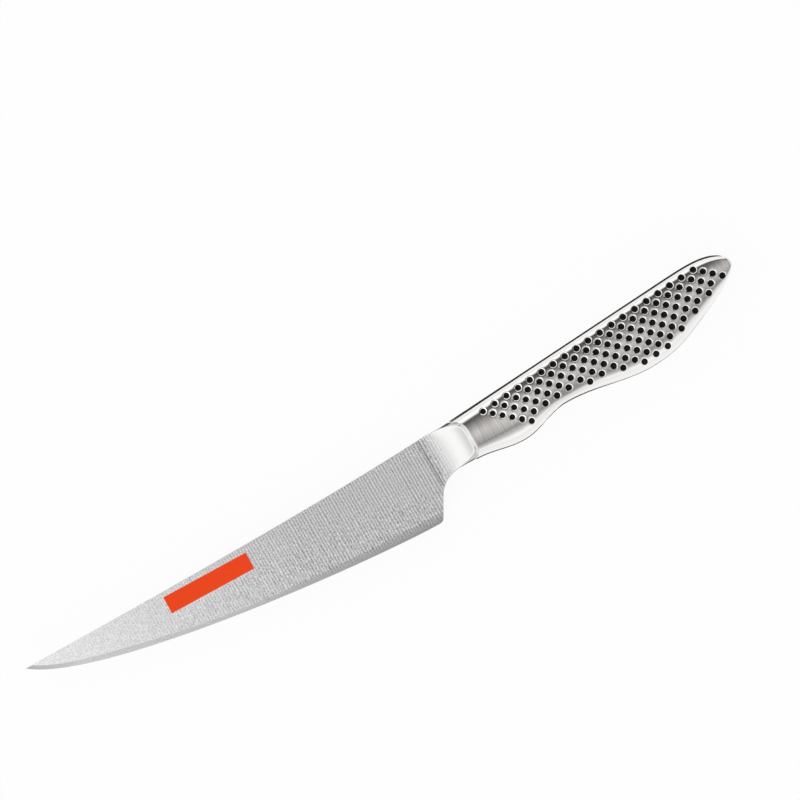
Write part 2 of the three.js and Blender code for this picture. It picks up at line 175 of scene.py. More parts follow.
def corner_points(mesh):
    """The point number of each face corner."""
    numbers = np.empty(len(mesh.loops), np.int32)
    mesh.loops.foreach_get("vertex_index", numbers)
    return numbers


def add_piece(name, points, faces, slot, stands_for=(), edge_angle=30.0, marks=None):
    """Adds a closed mesh, in plan millimetres. marks are named values, one for each point."""
    points, faces, kept = weld(np.asarray(points, float).reshape(-1, 3), faces)
    if signed_volume(points, faces) < 0:
        faces = [group[:, ::-1] for group in faces]
    mesh = bpy.data.meshes.new(name)
    mesh.from_pydata(to_frame(points).tolist(), [], [face for group in faces for face in group.tolist()])
    mesh.shade_smooth()
    mesh.set_sharp_from_angle(angle=np.radians(edge_angle))
    flat_map = points[corner_points(mesh), :2] / HANDLE_LENGTH
    mesh.uv_layers.new(name="brushing").uv.foreach_set("vector", flat_map.astype(np.float32).ravel())
    for mark, values in (marks or {}).items():
        layer = mesh.attributes.new(mark, "FLOAT", "POINT")
        layer.data.foreach_set("value", np.asarray(values, np.float32).ravel()[kept])
    piece = add_object(name, mesh)
    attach(piece, "root")
    if stands_for:
        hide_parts(*stands_for)
    print(f"{name}: {len(points)} points, {len(mesh.polygons)} faces")
    return piece


# %% [markdown]
# ## The blade
#
# The real blade is stamped from sheet, ground to a long taper on both sides and sharpened with a bevel.
# It could be cut from a block with planes, but a loft shows its logic better: each loop goes round the
# blade at one place along X. The bevel and the ground side are two planes, and the thickness is
# whichever is less. The bevel's width changes a little along the edge and is
# greatest at the heel, where the stone reaches further up the side.

# %% Outline of the blade
TIP_DROP = 0.6
SPINE_DIP = 1.0
SPINE_DIP_X = 45.0
TIP_ANGLE = np.radians(39.5)
TIP_REACH = 26.0
HEEL_REACH = 18.0
HEEL_ANGLE = np.radians(60.0)
HEEL_RADIUS = 2.0
CHOIL_RADIUS = 10.0
CHOIL_X = 4.0
CHOIL_END = 114.0
NECK_DEPTH = 14.2

tip = np.array([-BLADE_LENGTH, -TIP_DROP])
choil_centre = np.array([CHOIL_X, -NECK_DEPTH - CHOIL_RADIUS])
riser_top = choil_centre + CHOIL_RADIUS * np.array([-np.sin(HEEL_ANGLE), np.cos(HEEL_ANGLE)])
heel_x = riser_top[0] - (BLADE_DEPTH + riser_top[1]) / np.tan(HEEL_ANGLE)
edge_end = np.array([heel_x - HEEL_RADIUS * np.tan(HEEL_ANGLE / 2), -BLADE_DEPTH])
heel_centre = edge_end + np.array([0.0, HEEL_RADIUS])


def bezier(share, *controls):
    """A curve pulled by its control points: each step shortens the list by blending neighbours."""
    share = np.asarray(share)[:, None]
    points = [np.broadcast_to(control, (len(share), 2)) for control in controls]
    while len(points) > 1:
        points = [(1 - share) * a + share * b for a, b in zip(points, points[1:])]
    return points[0]


def arc(centre, radius, start, end, steps):
    """Points on a circle from one angle to another, in degrees."""
    angle = np.radians(np.linspace(start, end, steps))
    return centre + radius * np.stack([np.cos(angle), np.sin(angle)], 1)


EDGE_STEPS, HEEL_STEPS, RISER_STEPS, CHOIL_STEPS, SPINE_LINE_STEPS = 280, 14, 16, 24, 400
EDGE_CROWDING = 1.2
tip_pull = tip + TIP_REACH * np.array([np.cos(TIP_ANGLE), -np.sin(TIP_ANGLE)])
heel_pull = edge_end - np.array([HEEL_REACH, 0.0])
edge_share = np.linspace(0, 1, EDGE_STEPS) ** EDGE_CROWDING
edge_line = bezier(edge_share, tip, tip_pull, heel_pull, edge_end)
heel_line = arc(heel_centre, HEEL_RADIUS, -90, np.degrees(HEEL_ANGLE) - 90, HEEL_STEPS)
choil_line = arc(choil_centre, CHOIL_RADIUS, 90 + np.degrees(HEEL_ANGLE), CHOIL_END, CHOIL_STEPS)
riser_line = np.linspace(heel_line[-1], choil_line[0], RISER_STEPS)[1:-1]
lower_line = np.concatenate([edge_line, heel_line[1:], riser_line, choil_line])
spine_pull = np.array([-SPINE_DIP_X, -TIP_DROP / 2 - 2 * SPINE_DIP])
spine_line = bezier(np.linspace(0, 1, SPINE_LINE_STEPS), tip, spine_pull, np.zeros(2))
print(f"the edge is {edge_end[0] - tip[0]:.1f} mm long in X; the heel lies at {heel_x:.2f} mm")

# %% Thickness of the blade
SPINE_THICKNESS = 1.5
TIP_THICKNESS = 0.85
EDGE_SHOULDER = 0.88
EDGE_THICKNESS = 0.1
BEVEL_STATIONS = [-145.0, -115.0, -78.0, -14.0]
BEVEL_WIDTHS = [1.3, 1.75, 1.25, 2.9]
NECK_LAP = 2.5
SPINE_ROUND = 0.14
LEAST_BEVEL, LEAST_SIDE, SIDE_SHARE = 0.02, 0.05, 0.98
BEVEL_STEPS, SIDE_STEPS, SPINE_STEPS = 5, 21, 5

taper_across = (SPINE_THICKNESS - EDGE_SHOULDER) / 2 / BLADE_DEPTH
taper_along = (SPINE_THICKNESS - TIP_THICKNESS) / 2 / (BLADE_LENGTH - NECK_LAP)


def ground_side(x, y):
    """Height of the ground side above the blade's middle: a plane that falls to the edge and tip."""
    return SPINE_THICKNESS / 2 + taper_across * y + taper_along * (x + NECK_LAP)


def swell(x, stations, sizes):
    """A size along X: half a cosine wave from each station's size to the next."""
    place = np.interp(x, stations, np.arange(len(stations)))
    step = np.minimum(place.astype(int), len(stations) - 2)
    turn = (1 - np.cos(np.pi * (place - step))) / 2
    sizes = np.asarray(sizes, float)
    return sizes[step] + (sizes[step + 1] - sizes[step]) * turn


def blade_loops():
    """Loops round the blade. On one loop x is fixed and y climbs from the edge to the spine.

    The bevel climbs evenly from the edge to the ground side over its width. Its shoulder is a row
    of points, so that it stays crisp. Past the heel the bevel runs straight on. The last rows
    round the corner of the spine."""
    x, low = lower_line[:, :1], lower_line[:, 1:]
    spine = np.interp(x, spine_line[:, 0], spine_line[:, 1])
    on_edge = x <= edge_end[0]
    lean = np.gradient(edge_line[:, 1], edge_line[:, 0])
    squareness = np.where(on_edge, np.cos(np.arctan(np.interp(x, edge_line[:, 0], lean))), 1.0)
    edge = np.where(on_edge, low, -BLADE_DEPTH)
    meet = edge + swell(x, BEVEL_STATIONS, BEVEL_WIDTHS) / squareness
    gain = (ground_side(x, meet) - EDGE_THICKNESS / 2) / (meet - edge)
    shoulder = np.clip(meet, low + LEAST_BEVEL * (spine - low), spine - LEAST_SIDE * (spine - low))
    turn = np.maximum(shoulder + SIDE_SHARE * (spine - shoulder), spine - SPINE_ROUND)
    bevel_rows = low + (shoulder - low) * np.linspace(0, 1, BEVEL_STEPS, endpoint=False)
    side_rows = shoulder + (turn - shoulder) * np.linspace(0, 1, SIDE_STEPS, endpoint=False)
    spine_rows = turn + (spine - turn) * np.sin(np.linspace(0, np.pi / 2, SPINE_STEPS))
    y = np.concatenate([bevel_rows, side_rows, spine_rows], 1)
    z = np.minimum(ground_side(x, y), EDGE_THICKNESS / 2 + gain * (y - edge))
    past_turn = np.clip((y - turn) / np.maximum(spine - turn, TINY), 0, 1)
    z = z - np.minimum(SPINE_ROUND, z / 2) * (1 - np.sqrt(1 - past_turn**2))
    left = np.stack([np.broadcast_to(x, y.shape), y, z], 2)
    right = left[:, ::-1] * np.array([1, 1, -1])
    return np.concatenate([left, right], 1)


# %% Make the blade
def make_blade():
    """The loops above, welded to a point at the tip and closed by a flat end inside the neck.

    The mark honed is 1 on the bevel and on the back of the blade, which both come off a finer stone.
    The mark rise grows from 0 at the cutting edge to 1 at the bevel's shoulder."""
    loops = blade_loops()
    count, around = loops.shape[:2]
    loops[0] = [*tip, 0.0]
    place = np.minimum(np.arange(around), np.arange(around)[::-1])
    honed = (place <= BEVEL_STEPS) | (place > around // 2 - SPINE_STEPS)
    rise = np.where(place > BEVEL_STEPS, 0.0, place / BEVEL_STEPS)
    rows = {"honed": honed, "rise": rise}
    marks = {name: np.append(np.tile(row, count), [0, 0]) for name, row in rows.items()}
    return add_piece("ground_blade", *capped_loft(loops), "blade_steel", ["blade"], 4.0, marks)


blade = make_blade()

# %% [markdown]
# ## The handle's form
#
# The handle is two pressed half shells. Seen from the side its back rises in a straight line, and its
# underside swells at the finger stop, dips for the finger, swells again in the palm and then runs
# straight up to the butt. Each side is a broad face, a little crowned, with a tight round along the
# back and a wide soft one underneath. The wide round is widest at the finger stop and in the palm.

# %% Outline of the handle
NECK_STEP = 0.3
JOINT_TOP = 7.7
JOINT_CROWN = 11.4
JOINT_UNDER = 9.2
JOINT_BOW_TOP = 3.6
JOINT_BOW_UNDER = 8.0
BACK_STEP = 0.13
BACK_SLOPE = np.tan(np.radians(3.5))
BACK_ROUND_LENGTH = 26.0
BACK_CORNER = (4.5, 1.5)
BUTT_CORNER = (3, 2)
BUTT_DROP = 0.2
BUMP_START, BUMP_X, BUMP_DEPTH = 10.0, 26.3, 16.75
GROOVE_X, GROOVE_DEPTH = 43.2, 13.2
PALM_FROM_BUTT, PALM_DEPTH = 36.5, 17.05
TAIL_FROM_BUTT = 28.4
TAIL_SLOPE = np.tan(np.radians(25.2))
TAIL_BLEND = 3.6
BUTT_ROUND_LENGTH = 8.0
BUTT_EDGE = 2.4


def corner(share, power, root):
    """Level at 0 and upright at 1: one less the root of one less the power of the share."""
    return 1 - (1 - np.clip(share, 0, 1) ** power) ** (1 / root)


def handle_top(x):
    """The back: a straight rise, drawn down to the butt by a corner."""
    end_rise = BACK_STEP + BACK_SLOPE * (HANDLE_LENGTH - JOINT_TOP) + BUTT_DROP
    fall = corner((x - HANDLE_LENGTH) / BACK_ROUND_LENGTH + 1, *BACK_CORNER)
    return BACK_STEP + BACK_SLOPE * (x - JOINT_TOP) - end_rise * fall


def handle_bottom(x):
    """The underside: finger stop, groove and palm as swells, then a straight tail and a corner.

    The tail's rise is the soft positive part of the way past its start: log(1 + exp)."""
    stations = [BUMP_START, BUMP_X, GROOVE_X, HANDLE_LENGTH - PALM_FROM_BUTT]
    depth = swell(x, stations, [NECK_DEPTH + NECK_STEP, BUMP_DEPTH, GROOVE_DEPTH, PALM_DEPTH])
    past_palm = np.logaddexp(0, (x - HANDLE_LENGTH + TAIL_FROM_BUTT) / TAIL_BLEND)
    line = TAIL_SLOPE * TAIL_BLEND * past_palm - depth
    return line - (line + BUTT_DROP) * corner((x - HANDLE_LENGTH) / BUTT_ROUND_LENGTH + 1, *BUTT_CORNER)


def handle_half(x):
    """Half of the thickness, closed over the butt by a corner."""
    return HANDLE_THICKNESS / 2 * (1 - corner((x - HANDLE_LENGTH) / BUTT_EDGE + 1, *BUTT_CORNER))


def joint_line(y):
    """X of the line where the neck ends: nearly upright, drawn forward at the back and underneath.

    It goes with a power of the distance from the middle: a low one at the back, so that the line
    bends early there, and a high one underneath, so that it only turns at the very corner."""
    away = np.clip(2 * y / NECK_DEPTH + 1, -1, 1)
    at_back = (JOINT_TOP - JOINT_CROWN) * np.abs(away) ** JOINT_BOW_TOP
    under = (JOINT_UNDER - JOINT_CROWN) * np.abs(away) ** JOINT_BOW_UNDER
    return JOINT_CROWN + np.where(away > 0, at_back, under)


print("depth at the stop, groove and palm:", [BUMP_DEPTH, GROOVE_DEPTH, PALM_DEPTH], "mm")

# %% Section of the handle
BACK_STATIONS = [8.0, 15.0, 35.0, 75.0, 110.0]
BACK_EDGES = [3.4, 3.35, 2.6, 2.5, 2.35]
BELLY_STATIONS = [12.0, 26.0, 44.0, 60.0, 82.0, 100.0, 108.0]
BELLY_EDGES = [4.2, 6.2, 2.8, 4.6, 5.9, 3.6, 2.4]
BACK_CURVE = 3.0
BELLY_CURVE = 2.5
CROWN = 0.63
CROWN_DEPTH = 14.0
BUTT_FADE = 5.0
LEAST_EDGE = 0.5


def crown_share(top, bottom):
    """How far the face falls from its middle to the seam, as a share: less where the handle is slim."""
    return 2 * CROWN / HANDLE_THICKNESS * np.clip((top - bottom) / CROWN_DEPTH, 0, 1) ** 2


def handle_edges(x, inset):
    """Top and bottom of the form, and the widths of its two rounded edges.

    Both widths fade with the depth of the handle, so that a face is left between them at the butt."""
    top, bottom = handle_top(x) - inset, handle_bottom(x) + inset
    fade = 1 - np.exp(-np.maximum(top - bottom, TINY) / BUTT_FADE)
    back = np.maximum(swell(x, BACK_STATIONS, BACK_EDGES) - inset, LEAST_EDGE)
    belly = np.maximum(swell(x, BELLY_STATIONS, BELLY_EDGES) - inset, LEAST_EDGE)
    return top, bottom, back * fade, belly * fade


def section_height(y, top, bottom, back, belly):
    """Share of the half thickness at y: a crowned face times the curve of its rounded edges.

    On an edge, s runs from 0 at the face to 1 at the seam, and the curve is the square root of
    1 - s to a power. The power 2 is an ellipse, and a higher one leaves the face more softly."""
    s_back = np.clip((y - top) / np.maximum(back, TINY) + 1, 0, 1)
    s_belly = np.clip((bottom - y) / np.maximum(belly, TINY) + 1, 0, 1)
    across = (2 * y - top - bottom) / np.maximum(top - bottom, TINY)
    face = 1 - crown_share(top, bottom) * across**2
    return np.sqrt((1 - s_back**BACK_CURVE) * (1 - s_belly**BELLY_CURVE)) * face


def section_row(row, seam_angle, top, bottom, back, belly):
    """Where a row of a side lies in Y: 0 to 1 rounds the back, 1 to 2 is the face, 2 to 3 rounds under.

    On an edge the row turns evenly from the seam's angle to a right angle, so that points crowd
    where the surface is steep."""
    back_angle = seam_angle + (np.pi / 2 - seam_angle) * np.clip(row, 0, 1)
    belly_angle = seam_angle + (np.pi / 2 - seam_angle) * np.clip(3 - row, 0, 1)
    y_back = top - back * (1 - np.abs(np.cos(back_angle)) ** (2 / BACK_CURVE))
    y_belly = bottom + belly * (1 - np.abs(np.cos(belly_angle)) ** (2 / BELLY_CURVE))
    y_face = (top - back) + (bottom + belly - top + back) * np.clip(row - 1, 0, 1)
    return np.where(row < 1, y_back, np.where(row <= 2, y_face, y_belly))


def side_height(x, y, inset=0.0):
    """Height of a side over the seam, by the section at x."""
    return np.maximum(handle_half(x) - inset, 0) * section_height(y, *handle_edges(x, inset))


# %% [markdown]
# ## The grip dimples
#
# Rows of small round dimples are pressed into both faces. They stand in a square lattice that is turned
# to run diagonally, so a column starts below the back and steps down towards the underside until it
# comes too close to the rounded edge. The places are worked out by that rule, as on the solid.

# %% Places of the dimples
DIMPLE_PITCH = 4.385
DIMPLE_RADIUS = 1.17
DIMPLE_DEPTH = 0.42
DIMPLE_LIP = 0.16
GRIP_TILT = np.radians(4.0)
GRIP_FRONT = 19.2
GRIP_BUTT = 11.5
GRIP_BACK = 3.15
GRIP_BELLY = 2.7
GRIP_END = 5.0
RIM_STEPS = 400


def dimple_centres():
    """Lattice points: columns along the back, each stepping down at 45 degrees, cut at the underside."""
    along = np.array([np.cos(GRIP_TILT), np.sin(GRIP_TILT)])
    down = np.array([along[1], -along[0]])
    columns = int((HANDLE_LENGTH - GRIP_FRONT - GRIP_BUTT) / DIMPLE_PITCH) + 1
    steps = int(PALM_DEPTH / DIMPLE_PITCH * 4)
    column, step = np.meshgrid(np.arange(columns), np.arange(steps), indexing="ij")
    first = np.array([GRIP_FRONT, handle_top(np.array(GRIP_FRONT)) - GRIP_BACK])
    places = first + DIMPLE_PITCH * (column[..., None] * along + step[..., None] / 2 * (along + down))
    rim_x = np.linspace(GRIP_FRONT, HANDLE_LENGTH - GRIP_END, RIM_STEPS)
    rim = np.stack([rim_x, handle_bottom(rim_x)], 1)
    gap = np.linalg.norm(places[:, :, None] - rim, axis=3).min(2)
    over = places[..., 1] > handle_bottom(np.minimum(places[..., 0], HANDLE_LENGTH))
    whole = np.logical_and.accumulate((gap > GRIP_BELLY) & over, axis=1)
    print("dimples in each column:", whole.sum(1))
    return places[whole]


centres = dimple_centres()


def dimple_depth(x, y):
    """Depth below the face: a bowl, one less the squared share of the radius, with a soft lip."""
    away = np.stack([x, y], -1)[..., None, :] - centres
    share = np.sqrt((away**2).sum(-1).min(-1)) / DIMPLE_RADIUS
    bowl = 1 - share**2
    return DIMPLE_DEPTH * (bowl + np.sqrt(bowl**2 + DIMPLE_LIP**2)) / 2


print(len(centres), "dimples on each side")

# %% [markdown]
# ## The shells
#
# A shell's loop is a thin C: along the outside from the seam on the back to the seam underneath, then
# home along the inside of the 1 mm wall. The outside is fine enough to hold the dimples as real
# shape. The inside, which nobody sees, has far fewer points. In front both skins follow the bowed joint
# line, and a narrow round breaks the rim.

# %% Points of a shell
SEAM_WIDTH = 0.8
WALL = 1.0
BUTT_WALL = 3.0
NECK_WELD = 0.9
RIM_ROUND = 0.12
GRID = 0.2
FRONT_PATCH = 17.5
BUTT_PATCH = 105.8
FRONT_STEPS, BUTT_STEPS = 40, 26

seam_angle = np.arcsin(SEAM_WIDTH / HANDLE_THICKNESS)
rim_crown = JOINT_CROWN + NECK_WELD


def shell_places():
    """Places along X as distances behind the rim's line, and how much of the rim's bow each keeps.

    Next to the rim the places crowd and keep the whole bow. It fades out before the dimples start,
    and the last places crowd again over the butt."""
    front = rim_crown + (FRONT_PATCH - rim_crown) * (1 - np.cos(np.linspace(0, np.pi / 2, FRONT_STEPS)))
    face = np.arange(FRONT_PATCH + GRID, BUTT_PATCH, GRID)
    butt = BUTT_PATCH + (HANDLE_LENGTH - BUTT_PATCH) * np.sin(np.linspace(0, np.pi / 2, BUTT_STEPS))
    x = np.concatenate([front, face, butt])
    bow = np.clip((FRONT_PATCH - x) / (FRONT_PATCH - rim_crown), 0, 1)
    return x[:, None], bow[:, None]


def skin(rows, inset, end):
    """One skin of a shell as (x, y): rows across, with the front sheared to follow the joint line."""
    x, bow = shell_places()
    shorten = (end - FRONT_PATCH) / (HANDLE_LENGTH - FRONT_PATCH)
    x = np.where(x > FRONT_PATCH, FRONT_PATCH + (x - FRONT_PATCH) * shorten, x)
    x = np.broadcast_to(x, (len(x), len(rows)))
    y = section_row(rows, seam_angle, *handle_edges(x, inset))
    x = x - bow * (JOINT_CROWN - joint_line(y))
    return x, section_row(rows, seam_angle, *handle_edges(x, inset))


def rows_over(back, face, belly):
    """Row numbers from seam to seam, with so many steps over the back, the face and the belly."""
    parts = [np.linspace(0, 1, back)[:-1], np.linspace(1, 2, face)[:-1], np.linspace(2, 3, belly)]
    return np.concatenate(parts)


OUTER_ROWS = rows_over(14, 76, 22)
INNER_ROWS = rows_over(6, 10, 6)
POLISH_AND_HIGHLIGHT_BACK = 0.2
POLISH_AND_HIGHLIGHT_BELLY = 0.6
POLISH_AND_HIGHLIGHT_DIMPLE = 0.03


def make_shell(side, name, node):
    """A shell's loops from both skins, zipped shut at the rim. The last loop is a pole at the butt.

    The polish mark says how bright a point is: 0 on the brushed face, 1 on the polished edges and in the
    dimples, where the colour is partly real polish and partly a painted highlight."""
    x, y = skin(OUTER_ROWS, 0.0, HANDLE_LENGTH)
    rim = RIM_ROUND - np.sqrt(RIM_ROUND**2 - np.clip(RIM_ROUND - x + x[:1], 0, None) ** 2)
    pressed = dimple_depth(x, y)
    outer = np.stack([x, y, np.maximum(side_height(x, y) - rim - pressed, 0)], 2)
    inner_x, inner_y = skin(INNER_ROWS, WALL, HANDLE_LENGTH - BUTT_WALL)
    behind = inner_x + WALL
    inner_z = np.maximum(side_height(behind, inner_y, WALL), seam_angle * handle_half(behind))
    inner = np.stack([inner_x, inner_y, inner_z], 2)
    outer[-1] = [HANDLE_LENGTH, -BUTT_DROP, 0.0]
    inner[-1] = [HANDLE_LENGTH - BUTT_WALL, -BUTT_DROP, 0.0]
    loops = np.concatenate([outer, inner[:, ::-1]], 1) * np.array([1, 1, side])
    count, around = loops.shape[:2]
    outside = np.arange(len(OUTER_ROWS))
    inside = np.arange(len(OUTER_ROWS), around)[::-1]
    faces = [loft_faces(count, around), zip_faces(outside, inside)]
    top, bottom, back, belly = handle_edges(x, 0.0)
    on_back = (y - top + back) / np.maximum(back, TINY) / POLISH_AND_HIGHLIGHT_BACK
    on_belly = (bottom + belly - y) / np.maximum(belly, TINY) / POLISH_AND_HIGHLIGHT_BELLY
    on_butt = (x - HANDLE_LENGTH) / BUTT_EDGE + 1
    # Where the steel is polished and also gets a painted highlight: the round edges, the butt, the dimples
    # and the rim.
    bright = np.maximum.reduce([on_back, on_belly, on_butt, pressed / POLISH_AND_HIGHLIGHT_DIMPLE, rim / RIM_ROUND])
    polish_and_highlight = np.concatenate([np.clip(bright, 0, 1), np.ones(inner_x.shape)], 1)
    return add_piece(name, loops, faces, "shell_steel", [node], 40.0, {"polish_and_highlight": polish_and_highlight})


# %% Make both shells
shell_left = make_shell(1, "pressed_shell_left", "handle_shell_left")
shell_right = make_shell(-1, "pressed_shell_right", "handle_shell_right")

# %% [markdown]
# ## Enamel in the dimples
#
# The bottom of each dimple is filled with black enamel, which leaves a ring of bare steel round it. Each
# drop sits a little towards the underside and grows away from the neck, so that its black is partly
# enamel and partly painted shade where the dimple's walls would lie in shade.
# A dark spot in the steel's colour would do from afar, but enamel has its own gloss and surface, so
# each drop is a small lens of a few dozen faces that lies in its bowl.

# %% Make the enamel drops
ENAMEL_STATIONS = [22.0, 42.0]
ENAMEL_AND_SHADE_RADII = [0.94, 1.05]
ENAMEL_SHADE_OFFSET = 0.07
ENAMEL_HOLLOW = 0.55
ENAMEL_PROUD = 0.01
ENAMEL_SINK = 0.05
ENAMEL_RINGS = np.array([1.0, 0.72, 0.36])
ENAMEL_SIDES = 14


def make_enamel(side, name):
    """Lenses: rings about each pool, flatter than the bowl, over a point under the bowl's floor.

    The outer ring lies on the steel. Further in, the depth goes over to the crown's by the square
    of the way from the middle, as a liquid's hollow surface does."""
    turn = np.linspace(0, 2 * np.pi, ENAMEL_SIDES, endpoint=False)
    ring = ENAMEL_RINGS[:, None, None] * np.stack([np.cos(turn), np.sin(turn)], 1)
    # Painted shade: the drops are moved towards the underside and sized along the handle, so their black
    # also covers where the dimples' walls would be shaded.
    pools = centres - np.array([0.0, ENAMEL_SHADE_OFFSET])
    reach = swell(centres[:, 0], ENAMEL_STATIONS, ENAMEL_AND_SHADE_RADII)
    flat = pools[:, None, None] + reach[:, None, None, None] * ring
    shore = dimple_depth(flat[:, 0, :, 0], flat[:, 0, :, 1])
    crown = shore.mean(1) + ENAMEL_HOLLOW * (DIMPLE_DEPTH - shore.mean(1))
    outward = ENAMEL_RINGS[:, None] ** 2
    depth = shore[:, None] * outward + crown[:, None, None] * (1 - outward)
    height = side_height(flat[..., 0], flat[..., 1]) - depth + ENAMEL_PROUD
    rings = np.concatenate([flat, height[..., None]], 3).reshape(len(centres), -1, 3)
    face = side_height(pools[:, 0], pools[:, 1])
    crown_point = np.stack([*pools.T, face - crown + ENAMEL_PROUD], 1)
    floor_point = np.stack([*pools.T, face - DIMPLE_DEPTH - ENAMEL_SINK], 1)
    drops = np.concatenate([rings, crown_point[:, None], floor_point[:, None]], 1) * np.array([1, 1, side])
    size = drops.shape[1]
    rows = len(ENAMEL_RINGS)
    one = [
        loft_faces(rows, ENAMEL_SIDES),
        fan_faces(np.arange((rows - 1) * ENAMEL_SIDES, rows * ENAMEL_SIDES), size - 2),
        fan_faces(np.arange(ENAMEL_SIDES), size - 1)[:, ::-1],
    ]
    shift = np.arange(len(centres))[:, None, None] * size
    faces = [(group[None] + shift).reshape(-1, group.shape[1]) for group in one]
    return add_piece(name, drops, faces, "dimple_enamel", (), 40.0)


enamel_left = make_enamel(1, "dimple_enamel_left")
enamel_right = make_enamel(-1, "dimple_enamel_right")

# %% [markdown]
# ## The neck
#
# Between the thin blade and the thick handle sits a short neck. Its cheeks sweep up from the blade in
# a hollow curve and turn over a small shoulder just before the handle. The form is the lower of two: the
# hollow sweep, and the rounded bar that the handle goes on from. A soft minimum joins them, so that
# the crease between them is a small round, as polishing leaves it. The sweep is stretched to end
# at the joint line on every row, so its shoulder is bowed as the joint is.

# %% Form of the neck
NECK_LIP = 0.05
FLARE_RADIUS = 24.2
SHOULDER_RADIUS = 0.8
NECK_TUCK = np.array([0.3, -0.2, 0.0])
TUCK_SCALE = np.array([1.0, 0.97, 0.94])
CREASE = 40.0
LEAST_BAR = 0.001
NECK_STEPS = 90
SETTLE_TURNS = 3

neck_half = HANDLE_THICKNESS / 2 - NECK_STEP


def flare_height(x):
    """The hollow sweep: an arc that starts level on the blade and ends in a small round shoulder.

    Both arcs touch where the line through their centres leans by the angle turn."""
    foot = SPINE_THICKNESS / 2 + NECK_LIP
    span = FLARE_RADIUS + SHOULDER_RADIUS
    turn = np.arccos((foot + FLARE_RADIUS - neck_half + SHOULDER_RADIUS) / span)
    run = np.clip(x + NECK_LAP, 0, FLARE_RADIUS * np.sin(turn))
    hollow = foot + FLARE_RADIUS - np.sqrt(FLARE_RADIUS**2 - run**2)
    left = np.clip(span * np.sin(turn) - x - NECK_LAP, 0, SHOULDER_RADIUS * np.sin(turn))
    shoulder = neck_half - SHOULDER_RADIUS + np.sqrt(SHOULDER_RADIUS**2 - left**2)
    return np.where(x + NECK_LAP < FLARE_RADIUS * np.sin(turn), hollow, shoulder)


def neck_underside(x):
    """The underside: level, with the hollow arc that runs on into the heel of the blade."""
    run = np.maximum(CHOIL_X - x, 0)
    return -NECK_DEPTH - CHOIL_RADIUS + np.sqrt(CHOIL_RADIUS**2 - run**2)


def neck_points(share, rows):
    """Points on the left cheek: share runs from the front edge to the joint line.

    Where the joint line lies depends on y, and y on the underside at x, so both settle in turns."""
    back = swell(np.array(JOINT_CROWN), BACK_STATIONS, BACK_EDGES)
    belly = swell(np.array(JOINT_CROWN), BELLY_STATIONS, BELLY_EDGES)
    reach = -NECK_LAP + share * (JOINT_CROWN + NECK_LAP)
    x = np.broadcast_to(reach, (len(share), len(rows)))
    for _ in range(SETTLE_TURNS):
        bottom = neck_underside(x)
        y = section_row(rows, 0.0, 0.0, bottom, back, belly)
        x = -NECK_LAP + share * (joint_line(y) + NECK_LAP)
    bar = HANDLE_THICKNESS / 2 * section_height(y, 0.0, bottom, back, belly)
    z = (np.maximum(bar, LEAST_BAR) ** -CREASE + flare_height(reach) ** -CREASE) ** (-1 / CREASE)
    return np.stack([x, y, np.where(bar < LEAST_BAR, 0, z)], 2)


NECK_ROWS = rows_over(24, 24, 30)


# %% Make the neck
def both_cheeks(left):
    """A closed loop from a left side: the same points mirrored come back along the right side."""
    right = left[:, -2:0:-1] * np.array([1, 1, -1])
    return np.concatenate([left, right], 1)


def make_neck():
    """Loops from the front edge to a little behind the joint line, with a flat end at both."""
    share = np.linspace(0, 1, NECK_STEPS)[:, None]
    loops = both_cheeks(neck_points(share, NECK_ROWS))
    loops = np.concatenate([loops, loops[-1:] * TUCK_SCALE + NECK_TUCK])
    return add_piece("polished_neck", *capped_loft(loops), "neck_steel", ["neck_bolster"], 45.0)


neck = make_neck()

# %% [markdown]
# ## The welds
#
# Three kinds of bead hold the knife together. One fills the step from the neck up to the shells and
# shows as a bright lip. One closes the seam between the shells and is ground flush all round. Two thin
# ones blend the front of the cheeks into the blade. Each is a short profile carried along its seam.

# %% Make the bead at the neck
BEAD_STEPS = 5
BEAD_CLIMB = np.array([0.98, 1.0, 0.985])
BEAD_ROOT = np.array([1.0, 0.86, 0.8])


def make_neck_bead():
    """A ring: on each ray of rows it climbs from the neck's rim to the shells' rim, and has a root."""
    neck_rim = both_cheeks(neck_points(np.ones((1, 1)), NECK_ROWS))[0]
    x = np.full((1, len(NECK_ROWS)), rim_crown)
    for _ in range(SETTLE_TURNS):
        y = section_row(NECK_ROWS, 0.0, *handle_edges(x, 0.0))
        x = joint_line(y) + NECK_WELD
    shell_rim = both_cheeks(np.stack([x, y, side_height(x, y)], 2))[0]
    climb = np.linspace(0, 1, BEAD_STEPS)[:, None, None] * BEAD_CLIMB
    face = neck_rim + (shell_rim - neck_rim) * climb
    middle = np.array([0.0, -NECK_DEPTH / 2, 0.0])
    root = middle + (face[[-1, 0]] - middle) * BEAD_ROOT
    loops = np.concatenate([face, root]).swapaxes(0, 1)
    count, around = loops.shape[:2]
    faces = [loft_faces(count + 1, around)]
    loops = np.concatenate([loops, loops[:1]])
    return add_piece("neck_bead", loops, faces, "weld_steel", ["neck_weld"], 50.0)


neck_bead = make_neck_bead()

# %% Make the bead round the handle
SEAM_STEPS = 160
SEAM_GAP = 0.02
LEAST_SEAM = 0.01
SEAM_DEPTHS = np.array([0.03, 0.012, 0.004, 0.012, 0.03, WALL, WALL])
SEAM_WIDTHS = np.array([-1, -0.55, 0, 0.55, 1, 1, -1])


def left_normals(line):
    """Unit vectors square to a line of (x, y), to the left of its course."""
    step = np.gradient(line, axis=0)
    return np.stack([-step[:, 1], step[:, 0]], 1) / np.linalg.norm(step, axis=1, keepdims=True)


